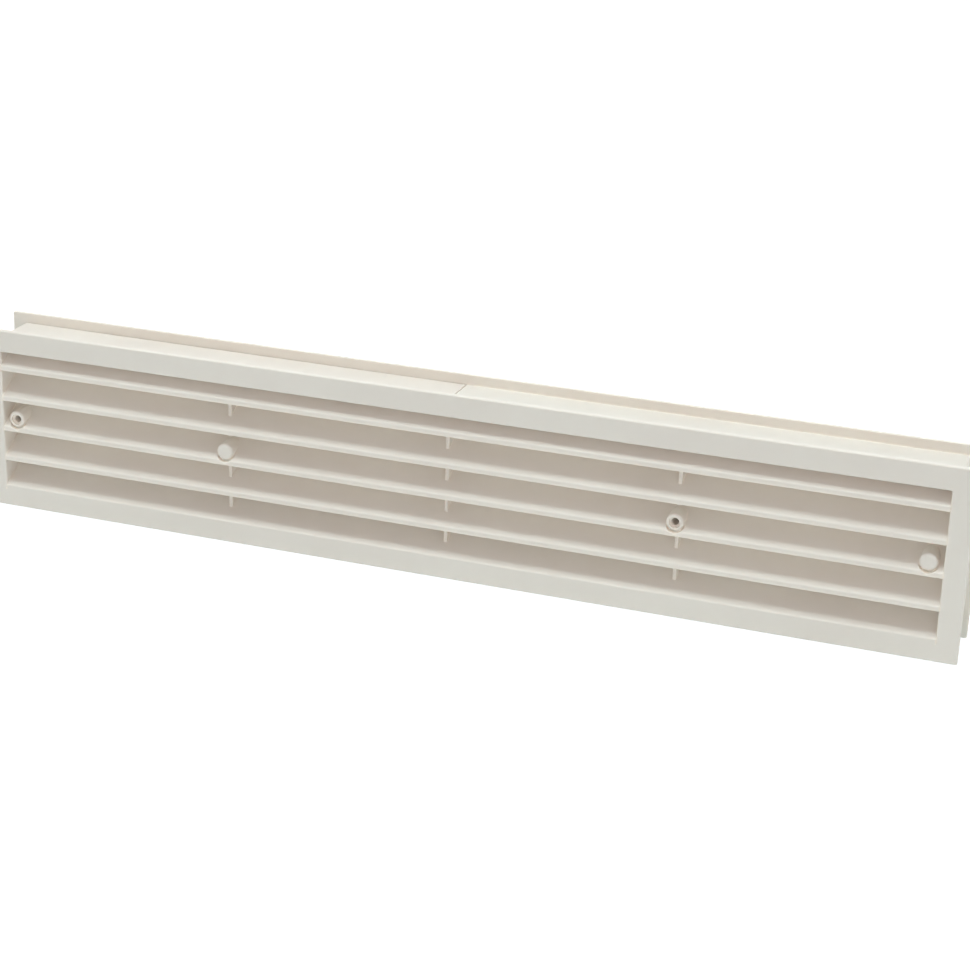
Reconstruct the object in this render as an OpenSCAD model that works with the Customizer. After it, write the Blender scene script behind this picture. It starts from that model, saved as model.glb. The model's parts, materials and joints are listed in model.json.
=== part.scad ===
// Two-part ventilation grille for a door. Two equal mouldings meet through the
// cut-out, one from each side, and their sleeves slide into each other.
// X runs along the length, Y through the door with the front at -Y, and Z is up.
// The origin is under the middle, on the surface that both flanges stand on.
// The rear half is the front half turned by 180 degrees about Z.

/* [Flange] */
// Length of a flange
flange_w = 450; // [440:1:560]
// Height of a flange
flange_h = 85; // [80:0.5:110]
// Thickness of a flange
flange_t = 2; // [1.5:0.1:3]
// Radius at the four corners of a flange
corner_r = 0.6; // [0.3:0.1:4]
// Radius along the outer front edge of a flange
outer_edge_r = 0.8; // [0.3:0.1:1.2]
// Radius along the front edge of the opening
opening_edge_r = 0.8; // [0.2:0.1:1]
// Drop of the opening's top edge below the roof of the louvre box
top_lip = 0.6; // [0.4:0.1:3]
// Drop of the opening's bottom edge below the floor of the louvre box
sill_drop = 1.75; // [0.75:0.05:2.5]

/* [Louvres] */
// Number of louvres in one half, the sill included
louvre_count = 5; // [4:1:6]
// Rise of a louvre towards the middle of the door, in degrees
louvre_angle = 33; // [15:1:38]
// Upright height of a louvre's nose
louvre_t = 2.1; // [1.8:0.1:2.6]
// Radius along the top of a louvre's nose
nose_r = 0.9; // [0.3:0.05:0.9]
// Distance of the louvres' and ribs' rear edges from the rear edge of the box
louvre_inset = 2.5; // [0:0.25:4]
// Free height above the first nose
top_slot = 8.75; // [6:0.25:12]

/* [Ribs] */
// Thickness of a rib
rib_t = 1.5; // [1:0.1:2.5]
// Distance of a rib's front edge behind the face of the flange
rib_setback = 6.75; // [5:0.25:9]
// Distance from the middle rib to each side rib
rib_spacing = 103.5; // [60:0.5:140]
// Free height between a boss and the rib above it
rib_lift = 1.8; // [0:0.1:3]

/* [Screw bosses] */
// Outer diameter of a boss
boss_d = 7.6; // [6.6:0.1:8.4]
// Distance of a boss's front end behind the face of the flange
boss_setback = 0.7; // [0.2:0.1:2]
// Radius on the front end of a boss
boss_edge_r = 1.2; // [0.2:0.1:1.3]
// Height of a boss's axis above the lower edge of the louvre that carries it
boss_rise = 5.8; // [5:0.05:7]
// Width of the groove round a boss's front, cut in the louvre that carries it
boss_groove_w = 0.8; // [0.3:0.1:1]
// Depth of that groove behind the face of the flange
boss_groove_depth = 3; // [1.5:0.25:4]
// Number of the slot that holds the bosses, counted from the top
boss_slot = 3; // [2:1:4]
// Distance of an end boss's axis from the end of the opening
end_boss_inset = 6.35; // [5:0.05:40]
// Diameter of the screw hole
screw_hole_d = 3.2; // [2.5:0.1:3.6]
// Diameter of the recess for the screw's head
head_recess_d = 5; // [4:0.1:5.6]
// Depth of the recess for the screw's head
head_recess_depth = 1.4; // [0.8:0.1:3]
// Diameter of the pilot hole
pilot_d = 2.5; // [2:0.1:3]
// Depth of the pilot hole
pilot_depth = 10; // [6:0.5:11]

/* [Sleeve] */
// Overhang of the flange above and below the sleeve
overhang = 4.6; // [3:0.1:8]
// Overhang of the flange beyond each end of the sleeve
end_overhang = 6.2; // [4:0.1:12]
// Thickness of a sleeve wall
wall_t = 1.5; // [1.2:0.1:2]
// Clearance between walls that slide on each other
slide_gap = 0.3; // [0.2:0.05:0.5]
// Clearance between a skirt's end wall and the louvre box of the other half
box_side_gap = 0.45; // [0.45:0.05:2]
// Clearance between the two skirts at mid-length
seam_gap = 0.5; // [0.2:0.1:2]
// Radius on the outer corners of the sleeve
sleeve_corner_r = 1.2; // [0.5:0.1:1.4]
// Thinnest door, with the two halves pushed together
closed_gap = 26.7; // [24:0.1:34]
// Clearance between a wall's free edge and the other flange when closed
end_gap = 0.3; // [0.2:0.1:1]
// Clearance between the two sets of louvres when closed
middle_gap = 0.7; // [0.4:0.1:2]

/* [Hidden] */
$fn = 64;
plastic = [0.89, 0.88, 0.85];
SIDES = ["front", "rear"];
BOSSES = ["screw_boss_end", "screw_boss_mid", "pilot_boss_mid", "pilot_boss_end"];
RIBS = ["rib_left", "rib_middle", "rib_right"];
FEATURES = concat(
    ["flange", "opening_rim", "outer_skirt", "inner_tongues"],
    ["box_roof", "box_floor", "box_side_left", "box_side_right", "sill"],
    [for (i = [1 : louvre_count - 1]) str("louvre_", i)],
    RIBS,
    BOSSES
);

// Reach of a cutter past the face that it cuts
past = 1;
closed_depth = closed_gap + 2 * flange_t;
box_end = (closed_depth - middle_gap) / 2;
louvre_end = box_end - louvre_inset;
wall_end = closed_depth - flange_t - end_gap;

// Half heights: the skirt is outermost, then the tongue, then the box that holds the louvres
skirt_out = flange_h / 2 - overhang;
tongue_out = skirt_out - wall_t - slide_gap;
box_out = tongue_out - wall_t - slide_gap;
box_in = box_out - wall_t;

// Half lengths in the same order, and of the opening
skirt_end = flange_w / 2 - end_overhang;
tongue_end_x = skirt_end - wall_t - slide_gap;
box_end_x = skirt_end - wall_t - box_side_gap;
box_corner_r = sleeve_corner_r / 2;
opening_half = box_end_x - wall_t;

opening_low = flange_h / 2 - box_in - sill_drop;
opening_high = flange_h / 2 + box_in - top_lip;
louvre_pitch = (opening_high - opening_low - top_slot) / (louvre_count - 1);
louvre_slope = tan(louvre_angle);

boss_r = boss_d / 2;
boss_z = nose_z(boss_slot) + boss_rise;
end_boss_x = opening_half - end_boss_inset;
// The mid bosses stand in line with the side ribs
boss_xs = [-end_boss_x, rib_spacing, -rib_spacing, end_boss_x];
rib_xs = [-rib_spacing, 0, rib_spacing];

// Height of the lower front edge of louvre i, counted from 1 at the top; the last is the sill
function nose_z(i) = opening_high - top_slot - (i - 1) * louvre_pitch;

// Height of the underside and of the upper side of louvre i at depth y
function under_z(i, y) = nose_z(i) + louvre_slope * y;
function over_z(i, y) = under_z(i, y) + louvre_t;

// Stands a half's feature in its place; y is the depth behind the half's own face
module placed(side) {
    rotate([0, 0, side == "rear" ? 180 : 0]) translate([0, -closed_depth / 2, 0]) children();
}

// Extrudes an outline in X and Z from depth y0 to depth y1
module deep(y0, y1) {
    translate([0, y1, 0]) rotate([90, 0, 0]) linear_extrude(y1 - y0) children();
}

// Extrudes an outline in Y and Z from x0 to x1
module along(x0, x1) {
    translate([x0, 0, 0]) rotate([90, 0, 90]) linear_extrude(x1 - x0) children();
}

// Rectangle about the middle of the flange, with round corners
module rounded_rect(half_w, half_h, r) {
    translate([0, flange_h / 2]) {
        square([2 * half_w - 2 * r, 2 * half_h], center = true);
        square([2 * half_w, 2 * half_h - 2 * r], center = true);
        for (sx = [-1, 1])
            for (sz = [-1, 1])
                translate([sx * (half_w - r), sz * (half_h - r)]) circle(r);
    }
}

// Cutter that rounds an edge along X; the solid lies at +Y and -Z of the edge
module edge_round(length, r) {
    difference() {
        translate([-length / 2 - past, -past, -r]) cube([length + 2 * past, r + past, r + past]);
        translate([-length / 2 - 2 * past, r, -r]) rotate([0, 90, 0]) cylinder(r = r, h = length + 4 * past);
    }
}

// Outline of the sleeve's outside
module sleeve_outline() {
    rounded_rect(skirt_end, skirt_out, sleeve_corner_r);
}

// Border that lies on the door all round the sleeve, with a rounded outer edge
module flange() {
    color(plastic) difference() {
        deep(0, flange_t) difference() {
            rounded_rect(flange_w / 2, flange_h / 2, corner_r);
            sleeve_outline();
        }
        translate([0, 0, flange_h / 2]) {
            for (turn = [0, 180])
                rotate([0, turn, 0]) translate([0, 0, flange_h / 2]) edge_round(flange_w, outer_edge_r);
            for (turn = [90, 270])
                rotate([0, turn, 0]) translate([0, 0, flange_w / 2]) edge_round(flange_h, outer_edge_r);
        }
    }
}

// Inner border of the face, from the sleeve to the opening, with soft edges round the opening
module opening_rim() {
    color(plastic) difference() {
        deep(0, flange_t) difference() {
            sleeve_outline();
            translate([-opening_half, opening_low])
                square([2 * opening_half, opening_high - opening_low]);
        }
        translate([0, 0, opening_high]) opening_edge(2 * opening_half);
        for (turn = [90, 270])
            translate([sign(turn - 180) * -opening_half, 0, (opening_low + opening_high) / 2])
                rotate([0, turn, 0]) opening_edge(opening_high - opening_low);
    }
}

// Cutter that rounds an inner edge along X; the solid lies at +Y and +Z of the edge
module opening_edge(length) {
    difference() {
        translate([-length / 2, -past, -past])
            cube([length, opening_edge_r + past, opening_edge_r + past]);
        translate([-length / 2 - past, opening_edge_r, opening_edge_r])
            rotate([0, 90, 0]) cylinder(r = opening_edge_r, h = length + 2 * past);
    }
}

// Upper or lower wall of the box behind the opening; z0 is its underside
module box_wall(z0) {
    color(plastic) difference() {
        deep(flange_t, box_end) translate([-opening_half, z0]) square([2 * opening_half, wall_t]);
        along(-opening_half, opening_half) sill_outline();
    }
}

// End wall of the same box, which holds the ends of the louvres; s is -1 on the left
module box_side(s) {
    color(plastic) deep(flange_t, box_end) intersection() {
        rounded_rect(box_end_x, box_out, box_corner_r);
        translate([s > 0 ? opening_half : -box_end_x, 0]) square([wall_t, flange_h]);
    }
}

// Outer wall of the sleeve: top, bottom and end, on the half's left side only
module outer_skirt() {
    color(plastic) deep(flange_t, wall_end) intersection() {
        difference() {
            sleeve_outline();
            rounded_rect(skirt_end - wall_t, skirt_out - wall_t, slide_gap);
        }
        translate([-skirt_end - past, 0]) square([skirt_end + past - seam_gap / 2, flange_h]);
    }
}

// Inner walls of the sleeve on the half's right side, each with a thick root on the box
module inner_tongues() {
    color(plastic) for (flip = [0, 1])
        translate([0, 0, flange_h / 2]) mirror([0, 0, flip])
            translate([seam_gap / 2, flange_t, 0]) {
                translate([0, 0, tongue_out - wall_t])
                    cube([tongue_end_x - seam_gap / 2, wall_end - flange_t, wall_t]);
                translate([0, 0, box_out])
                    cube([opening_half - seam_gap / 2, box_end - flange_t, slide_gap]);
            }
}

// Section of louvre i: upright nose, round on top, and a slope up towards the middle.
// The foot is the stretch of its underside that lies level, on the edge of the flange.
module louvre_outline(i, foot = 0) {
    translate([0, nose_z(i)]) difference() {
        polygon([
            [0, 0],
            [foot, 0],
            [foot, louvre_slope * foot],
            [louvre_end, louvre_slope * louvre_end],
            [louvre_end, louvre_t + louvre_slope * louvre_end],
            [0, louvre_t]
        ]);
        nose_round();
    }
}

// Cutter that rounds the top of a nose, where the upright face meets the slope
module nose_round() {
    slope_length = sqrt(1 + louvre_slope * louvre_slope);
    centre = [nose_r, louvre_t + nose_r * (louvre_slope - slope_length)];
    square_to_slope = [-louvre_slope, 1] / slope_length;
    difference() {
        polygon([
            centre,
            [-past, centre[1]],
            [-past, louvre_t + past],
            centre + (nose_r + past) * square_to_slope
        ]);
        translate(centre) circle(nose_r);
    }
}

module sill_outline() {
    louvre_outline(louvre_count, flange_t);
}

// Space under the top of the louvre box, which trims the first louvre
module under_roof() {
    translate([-past, 0]) square([box_end + 2 * past, flange_h / 2 + box_in]);
}

// Louvre i across the opening, cut away where the bosses pass through it
module louvre(i) {
    color(plastic) difference() {
        along(-opening_half, opening_half) intersection() {
            louvre_outline(i);
            under_roof();
        }
        if (i == boss_slot)
            for (x = boss_xs) {
                boss_at(x) post(past);
                boss_groove(x);
            }
    }
}

module sill() {
    color(plastic) along(-opening_half, opening_half) sill_outline();
}

// Upright web between the louvres, in one length for each slot
module rib(x) {
    color(plastic) difference() {
        along(x - rib_t / 2, x + rib_t / 2) rib_outline();
        for (boss_x = boss_xs) {
            boss_at(boss_x) post(past);
            above_boss(boss_x);
        }
    }
}

// Cutter that lifts a rib clear of the boss below it
module above_boss(x) {
    translate([x - boss_r, 0, boss_z]) cube([boss_d, box_end + past, boss_r + rib_lift]);
}

// Section of a rib: from the sill to the roof, less the louvres
module rib_outline() {
    difference() {
        polygon([
            [rib_setback, over_z(louvre_count, rib_setback)],
            [louvre_end, over_z(louvre_count, louvre_end)],
            [louvre_end, flange_h / 2 + box_in],
            [rib_setback, flange_h / 2 + box_in]
        ]);
        for (i = [1 : louvre_count - 1]) louvre_outline(i);
    }
}

// Places a boss's axis at x, with its front end at y = 0
module boss_at(x) {
    translate([x, boss_setback, boss_z]) children();
}

// Round post with a soft front edge, longer by the extra length where it is a cutter
module post(extra = 0) {
    rotate([-90, 0, 0]) rotate_extrude() {
        translate([0, boss_edge_r]) square([boss_r, box_end - boss_setback - boss_edge_r + extra]);
        square([boss_r - boss_edge_r, boss_edge_r]);
        intersection() {
            translate([boss_r - boss_edge_r, boss_edge_r]) circle(boss_edge_r);
            square([boss_r, boss_edge_r]);
        }
    }
}

// Cutter for the groove that frees the front of a boss from its louvre
module boss_groove(x) {
    translate([x, -past, boss_z]) rotate([-90, 0, 0])
        cylinder(r = boss_r + boss_groove_w, h = past + boss_groove_depth);
}

// Boss that the screw goes through, with a shallow recess for its head
module screw_boss(x) {
    color(plastic) difference() {
        boss_at(x) post();
        boss_at(x) rotate([-90, 0, 0]) {
            translate([0, 0, -past]) cylinder(d = head_recess_d, h = head_recess_depth + past);
            translate([0, 0, -past]) cylinder(d = screw_hole_d, h = box_end + 2 * past);
        }
    }
}

// Boss with a closed front, which takes the screw's point from behind
module pilot_boss(x) {
    color(plastic) difference() {
        boss_at(x) post();
        translate([x, box_end - pilot_depth, boss_z]) rotate([-90, 0, 0]) cylinder(d = pilot_d, h = pilot_depth + past);
    }
}

for (side = SIDES) {
    placed(side) flange();
    placed(side) opening_rim();
    placed(side) outer_skirt();
    placed(side) inner_tongues();
    placed(side) box_wall(flange_h / 2 + box_in);
    placed(side) box_wall(flange_h / 2 - box_out);
    placed(side) box_side(-1);
    placed(side) box_side(1);
    placed(side) sill();
    for (i = [1 : louvre_count - 1])
        placed(side) louvre(i);
    for (k = [0 : len(RIBS) - 1])
        placed(side) rib(rib_xs[k]);
    for (k = [0, 1])
        placed(side) screw_boss(boss_xs[k]);
    for (k = [2, 3])
        placed(side) pilot_boss(boss_xs[k]);
}
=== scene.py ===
"""Looks of the door vent grille: moulded plastic, white studio and the photograph's camera."""

import json
import math

import bmesh
import bpy
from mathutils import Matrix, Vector

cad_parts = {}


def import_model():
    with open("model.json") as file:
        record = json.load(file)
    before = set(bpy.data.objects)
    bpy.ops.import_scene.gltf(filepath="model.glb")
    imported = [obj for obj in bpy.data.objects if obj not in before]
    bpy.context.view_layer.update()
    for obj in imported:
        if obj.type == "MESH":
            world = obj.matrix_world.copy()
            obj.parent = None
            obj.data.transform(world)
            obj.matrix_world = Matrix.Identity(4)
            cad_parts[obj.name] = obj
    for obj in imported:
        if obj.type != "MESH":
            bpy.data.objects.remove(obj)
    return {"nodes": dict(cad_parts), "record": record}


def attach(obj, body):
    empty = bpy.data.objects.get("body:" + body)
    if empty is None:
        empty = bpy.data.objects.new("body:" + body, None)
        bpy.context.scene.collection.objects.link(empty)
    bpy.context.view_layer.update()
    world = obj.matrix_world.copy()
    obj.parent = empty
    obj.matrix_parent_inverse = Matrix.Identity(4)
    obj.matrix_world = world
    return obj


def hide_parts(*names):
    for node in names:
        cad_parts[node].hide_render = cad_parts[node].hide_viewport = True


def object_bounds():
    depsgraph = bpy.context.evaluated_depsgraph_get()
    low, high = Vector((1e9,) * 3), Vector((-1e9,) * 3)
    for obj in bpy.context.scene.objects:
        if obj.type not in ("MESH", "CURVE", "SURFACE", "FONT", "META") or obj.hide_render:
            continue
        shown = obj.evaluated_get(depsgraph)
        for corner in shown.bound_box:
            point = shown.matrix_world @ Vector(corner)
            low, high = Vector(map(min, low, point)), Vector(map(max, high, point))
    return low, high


# Camera: place in metres, turn in degrees about X, Y and Z, focal length and sensor width in mm
CAMERA_PLACE = (0.3025, -0.8416, 0.3827)
CAMERA_TURN = (68.933, -1.71, 19.544)
CAMERA_LENS = 81.17
CAMERA_SENSOR = 36.0

# Plastic: shades of the same white, sRGB 0 to 255, and its gloss
FRONT_SHADES = ((242, 231, 222), (245, 235, 226))
REAR_SHADES = ((241, 232, 223), (244, 236, 227))
ROUGHNESS = (0.50, 0.60)
REFRACTION = 1.49

# Plastic: how far light goes in, in metres, its share by colour, and the radius that edges seem to have
LIGHT_DEPTH = 0.001
LIGHT_SPREAD = (1.0, 0.85, 0.75)
EDGE_SOFTNESS = 0.00035

# Clouds in the plastic: noise scale, and the noise values between which the shade and the gloss change
CLOUD_SCALE = 14.0
CLOUD_SPAN = (0.35, 0.65)
GLOSS_SPAN = (0.3, 0.7)

# Surface of the plastic: noise scale, height in metres and strength of each bump
GRAIN_SCALE, GRAIN_HEIGHT, GRAIN_STRENGTH = 2500.0, 0.00005, 0.10
FLOW_SCALE, FLOW_HEIGHT, FLOW_STRENGTH = 45.0, 0.0006, 0.25

# Fusing a half: weld distance in metres, then angles in radians for a flat joint and a sharp edge
WELD = 2e-6
FLAT_ANGLE = 0.0005
SHARP_ANGLE = math.radians(28)

# White of the studio, linear RGBA
WHITE = (1.0, 1.0, 1.0, 1.0)

# Floor: its width in metres, then its shade and glow as they light the object and as the camera sees them
FLOOR_WIDTH = 30.0
FLOOR_SHADE = 0.80
FLOOR_SHADE_SEEN = 0.30
FLOOR_GLOW = 0.14
FLOOR_GLOW_COLOUR = (180, 245, 255)
FLOOR_GLOW_SEEN = 0.86

# World: strength and sRGB colour of the fill on the object
FILL = 0.49
FILL_COLOUR = (255, 251, 249)

# Lamps, all aimed at one spot: place and size in metres, watts and sRGB colour
LAMP_AIM = (0, 0, 0.04)
LAMPS = {
    "overhead": ((0, -0.22, 1.42), (1.8, 0.44), 12.0, (235, 254, 255)),
    "front": ((0.7, -1.59, 0.24), (1.2, 0.3), 0.8, (255, 240, 230)),
    "back": ((0, 1.47, 0.35), (2.0, 0.4), 9.8, (226, 254, 253)),
}


def linear(shade):
    """RGBA of an sRGB shade given as 0 to 255."""
    channels = [c / 255 for c in shade]
    return tuple(c / 12.92 if c <= 0.04045 else ((c + 0.055) / 1.055) ** 2.4 for c in channels) + (1.0,)


def node(tree, kind, **sockets):
    """A shader node with some of its sockets set by name."""
    made = tree.nodes.new(kind)
    for name, value in sockets.items():
        made.inputs[name.replace("_", " ")].default_value = value
    return made


def plastic(name, shades):
    """Moulded plastic: faint cloudy shade, uneven gloss and a fine grained surface."""
    material = bpy.data.materials.new(name)
    material.use_nodes = True
    tree = material.node_tree
    link = tree.links.new
    shader = tree.nodes["Principled BSDF"]
    place = tree.nodes.new("ShaderNodeTexCoord")

    clouds = node(tree, "ShaderNodeTexNoise", Scale=CLOUD_SCALE, Detail=3.0, Roughness=0.5)
    shade = tree.nodes.new("ShaderNodeValToRGB")
    for stop, place_in_clouds, colour in zip(shade.color_ramp.elements, CLOUD_SPAN, shades):
        stop.position = place_in_clouds
        stop.color = linear(colour)
    link(place.outputs["Object"], clouds.inputs["Vector"])
    link(clouds.outputs["Fac"], shade.inputs["Fac"])
    link(shade.outputs["Color"], shader.inputs["Base Color"])

    gloss = node(tree, "ShaderNodeMapRange", From_Min=GLOSS_SPAN[0], From_Max=GLOSS_SPAN[1],
                 To_Min=ROUGHNESS[0], To_Max=ROUGHNESS[1])
    link(clouds.outputs["Fac"], gloss.inputs["Value"])
    link(gloss.outputs["Result"], shader.inputs["Roughness"])

    grain = node(tree, "ShaderNodeTexNoise", Scale=GRAIN_SCALE, Detail=2.0)
    flow = node(tree, "ShaderNodeTexNoise", Scale=FLOW_SCALE, Detail=1.0)
    soft = node(tree, "ShaderNodeBevel", Radius=EDGE_SOFTNESS)
    fine = node(tree, "ShaderNodeBump", Strength=GRAIN_STRENGTH, Distance=GRAIN_HEIGHT)
    broad = node(tree, "ShaderNodeBump", Strength=FLOW_STRENGTH, Distance=FLOW_HEIGHT)
    link(place.outputs["Object"], grain.inputs["Vector"])
    link(place.outputs["Object"], flow.inputs["Vector"])
    link(soft.outputs["Normal"], broad.inputs["Normal"])
    link(flow.outputs["Fac"], broad.inputs["Height"])
    link(grain.outputs["Fac"], fine.inputs["Height"])
    link(broad.outputs["Normal"], fine.inputs["Normal"])
    link(fine.outputs["Normal"], shader.inputs["Normal"])

    shader.subsurface_method = "BURLEY"
    shader.inputs["IOR"].default_value = REFRACTION
    shader.inputs["Subsurface Weight"].default_value = 1.0
    shader.inputs["Subsurface Radius"].default_value = LIGHT_SPREAD
    shader.inputs["Subsurface Scale"].default_value = LIGHT_DEPTH
    return material


def solid_copy(name):
    """Copy of a CAD node's mesh with its points welded and its flat faces whole."""
    copy = bpy.data.objects.new(name + "_copy", frame["nodes"][name].data.copy())
    mesh = bmesh.new()
    mesh.from_mesh(copy.data)
    bmesh.ops.remove_doubles(mesh, verts=mesh.verts, dist=WELD)
    bmesh.ops.dissolve_limit(mesh, angle_limit=FLAT_ANGLE, verts=mesh.verts, edges=mesh.edges)
    mesh.to_mesh(copy.data)
    mesh.free()
    return copy


def moulding(body, material):
    """The half as the one moulding that it really is: its CAD nodes fused into a single piece."""
    names = frame["record"]["behaviour"]["bodies"][body]
    first, *rest = [solid_copy(name) for name in names]
    group = bpy.data.collections.new(body + "_copies")
    for copy in rest:
        group.objects.link(copy)
    bpy.context.scene.collection.objects.link(first)
    union = first.modifiers.new("union", "BOOLEAN")
    union.operation = "UNION"
    union.operand_type = "COLLECTION"
    union.collection = group
    union.solver = "EXACT"
    graph = bpy.context.evaluated_depsgraph_get()
    piece = bpy.data.objects.new(body + "_moulding", bpy.data.meshes.new_from_object(first.evaluated_get(graph)))
    for copy in (first, *rest):
        bpy.data.objects.remove(copy)
    bpy.data.collections.remove(group)
    bpy.context.scene.collection.objects.link(piece)

    mesh = bmesh.new()
    mesh.from_mesh(piece.data)
    bmesh.ops.remove_doubles(mesh, verts=mesh.verts, dist=WELD)
    bmesh.ops.dissolve_degenerate(mesh, edges=mesh.edges, dist=WELD)
    for face in mesh.faces:
        face.smooth = True
    for edge in mesh.edges:
        edge.smooth = edge.is_manifold and edge.calc_face_angle(0.0) < SHARP_ANGLE
    mesh.to_mesh(piece.data)
    mesh.free()
    weigh = piece.modifiers.new("flat faces first", "WEIGHTED_NORMAL")
    weigh.keep_sharp = True
    weigh.weight = 100
    graph = bpy.context.evaluated_depsgraph_get()
    shaded = bpy.data.meshes.new_from_object(piece.evaluated_get(graph))
    piece.modifiers.clear()
    piece.data = shaded
    piece.data.materials.clear()
    piece.data.materials.append(material)
    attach(piece, body)
    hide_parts(*names)
    return piece


def backdrop():
    """Pale floor that shows as white to the camera and keeps the object's shadow."""
    material = bpy.data.materials.new("studio_floor")
    material.use_nodes = True
    tree = material.node_tree
    link = tree.links.new
    rays = tree.nodes.new("ShaderNodeLightPath")
    glow = node(tree, "ShaderNodeEmission", Color=linear(FLOOR_GLOW_COLOUR), Strength=FLOOR_GLOW)
    seen = node(tree, "ShaderNodeEmission", Color=WHITE, Strength=FLOOR_GLOW_SEEN)
    choice = tree.nodes.new("ShaderNodeMixShader")
    add = tree.nodes.new("ShaderNodeAddShader")
    shade = node(tree, "ShaderNodeMapRange", To_Min=FLOOR_SHADE, To_Max=FLOOR_SHADE_SEEN)
    shader = tree.nodes["Principled BSDF"]
    shader.inputs["Roughness"].default_value = 1.0
    shader.inputs["Specular IOR Level"].default_value = 0.0
    link(rays.outputs["Is Camera Ray"], shade.inputs["Value"])
    link(shade.outputs["Result"], shader.inputs["Base Color"])
    link(rays.outputs["Is Camera Ray"], choice.inputs[0])
    link(glow.outputs["Emission"], choice.inputs[1])
    link(seen.outputs["Emission"], choice.inputs[2])
    link(shader.outputs["BSDF"], add.inputs[0])
    link(choice.outputs["Shader"], add.inputs[1])
    link(add.outputs["Shader"], tree.nodes["Material Output"].inputs["Surface"])

    bpy.ops.mesh.primitive_plane_add(size=FLOOR_WIDTH, location=(0, 0, cad_low.z))
    floor = bpy.context.object
    floor.name = "studio_floor"
    floor.data.materials.append(material)


def world():
    """White behind everything, and a plain fill on the object."""
    scenery = bpy.data.worlds.new("studio_world")
    bpy.context.scene.world = scenery
    scenery.use_nodes = True
    tree = scenery.node_tree
    link = tree.links.new
    light = tree.nodes["Background"]
    light.inputs["Color"].default_value = linear(FILL_COLOUR)
    light.inputs["Strength"].default_value = FILL
    white = node(tree, "ShaderNodeBackground", Color=WHITE, Strength=1.0)
    rays = tree.nodes.new("ShaderNodeLightPath")
    seen = node(tree, "ShaderNodeMath")
    seen.operation = "MAXIMUM"
    through = node(tree, "ShaderNodeMath")
    through.operation = "MAXIMUM"
    choice = tree.nodes.new("ShaderNodeMixShader")
    link(rays.outputs["Is Camera Ray"], seen.inputs[0])
    link(rays.outputs["Is Glossy Ray"], seen.inputs[1])
    link(seen.outputs["Value"], through.inputs[0])
    link(rays.outputs["Is Transmission Ray"], through.inputs[1])
    link(through.outputs["Value"], choice.inputs[0])
    link(light.outputs["Background"], choice.inputs[1])
    link(white.outputs["Background"], choice.inputs[2])
    link(choice.outputs["Shader"], tree.nodes["World Output"].inputs["Surface"])


def lamp(name, place, size, power, colour):
    """Rectangular soft light at place, pointed at the common spot."""
    light = bpy.data.lights.new(name, "AREA")
    light.shape = "RECTANGLE"
    light.size, light.size_y = size
    light.energy = power
    light.color = linear(colour)[:3]
    made = bpy.data.objects.new(name, light)
    bpy.context.collection.objects.link(made)
    made.location = place
    made.rotation_euler = (Vector(LAMP_AIM) - Vector(place)).to_track_quat("-Z", "Y").to_euler()


def camera():
    """The photograph's camera."""
    data = bpy.data.cameras.new("photo_camera")
    data.lens = CAMERA_LENS
    data.sensor_width = CAMERA_SENSOR
    made = bpy.data.objects.new("photo_camera", data)
    made.location = CAMERA_PLACE
    made.rotation_euler = [math.radians(a) for a in CAMERA_TURN]
    bpy.context.collection.objects.link(made)
    bpy.context.scene.camera = made


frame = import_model()
cad_low, cad_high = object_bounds()
moulding("front_half", plastic("front_plastic", FRONT_SHADES))
moulding("rear_half", plastic("rear_plastic", REAR_SHADES))
backdrop()
world()
for name, values in LAMPS.items():
    lamp(name, *values)
camera()
bpy.context.scene.view_settings.view_transform = "Standard"
